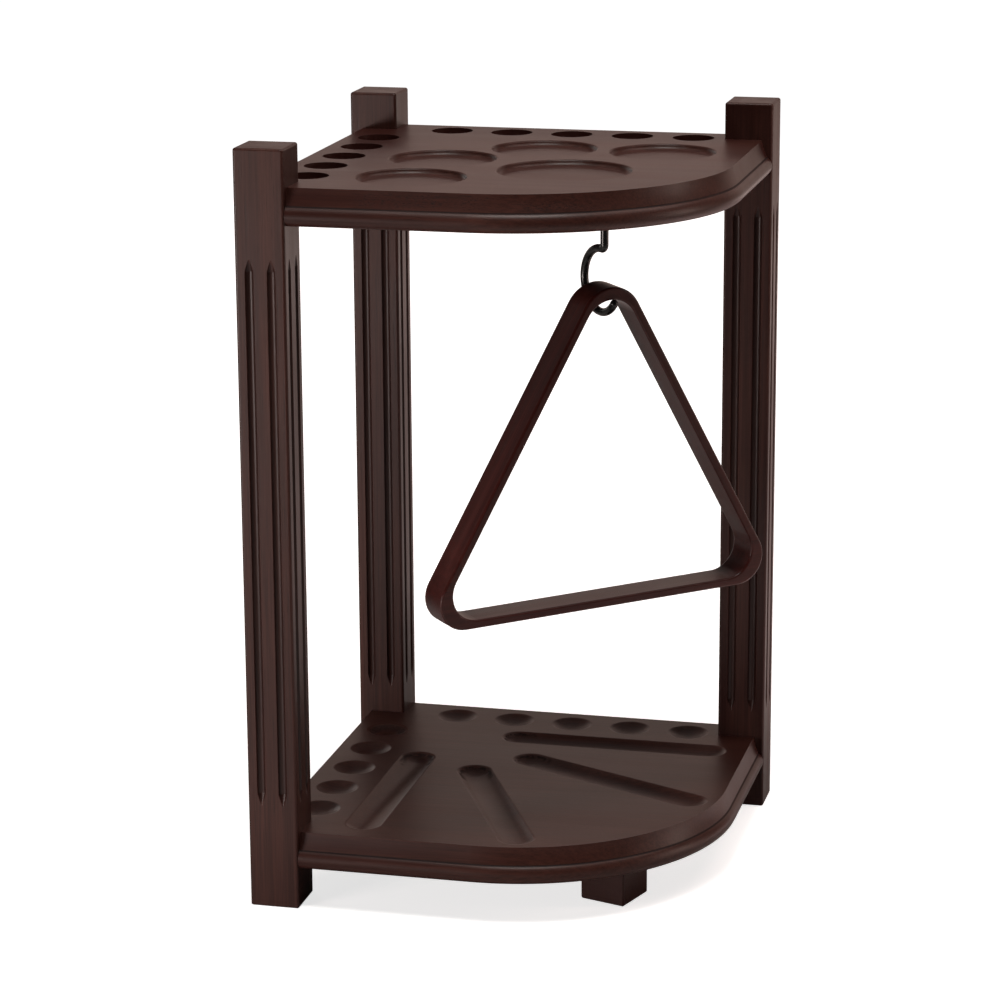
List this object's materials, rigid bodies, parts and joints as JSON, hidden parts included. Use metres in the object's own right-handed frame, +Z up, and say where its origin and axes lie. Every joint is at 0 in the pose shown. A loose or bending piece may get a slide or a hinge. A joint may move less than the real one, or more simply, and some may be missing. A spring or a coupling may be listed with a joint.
{
  "type": "corner cue rack",
  "caption": "Corner floor rack for billiard cues: fluted posts, moulded quarter-round boards, cue bores, ball grooves and a hanging ball triangle.",
  "frame": {"origin": "middle of the rear corner post's underside, on the floor", "axes": "+Z up, +Y to the back, -X to the left; the rounded free corner points to +X -Y"},
  "size_m": [0.4128, 0.406, 0.665],
  "materials": {
    "rack_wood": "dark espresso stain under satin lacquer",
    "triangle_wood": "dark mahogany stain under satin lacquer",
    "black_wire": "glossy black",
    "zinc_steel": "bright zinc plate",
    "beech": "bare turned beech"
  },
  "bodies": {
    "rack": {"top_board": "rack_wood", "bottom_board": "rack_wood", "front_left_post": "rack_wood", "rear_corner_post": "rack_wood", "rear_right_post": "rack_wood", "front_foot": "rack_wood", "front_foot_screw": "zinc_steel", "triangle_hook": "black_wire", "front_left_top_bolt": "zinc_steel", "front_left_top_barrel_nut": "zinc_steel", "front_left_top_dowel": "beech", "front_left_bottom_bolt": "zinc_steel", "front_left_bottom_barrel_nut": "zinc_steel", "front_left_bottom_dowel": "beech", "rear_corner_top_bolt": "zinc_steel", "rear_corner_top_barrel_nut": "zinc_steel", "rear_corner_top_dowel": "beech", "rear_corner_bottom_bolt": "zinc_steel", "rear_corner_bottom_barrel_nut": "zinc_steel", "rear_corner_bottom_dowel": "beech", "rear_right_top_bolt": "zinc_steel", "rear_right_top_barrel_nut": "zinc_steel", "rear_right_top_dowel": "beech", "rear_right_bottom_bolt": "zinc_steel", "rear_right_bottom_barrel_nut": "zinc_steel", "rear_right_bottom_dowel": "beech"},
    "triangle": {"ball_triangle": "triangle_wood"}
  },
  "joints": [
    {"name": "triangle_swing", "type": "hinge", "parent": "rack", "child": "triangle", "pos_m": [0.26993, -0.27011, 0.52683], "axis": [0.6845, -0.729, 0], "range_deg": [-25, 25]}
  ]
}
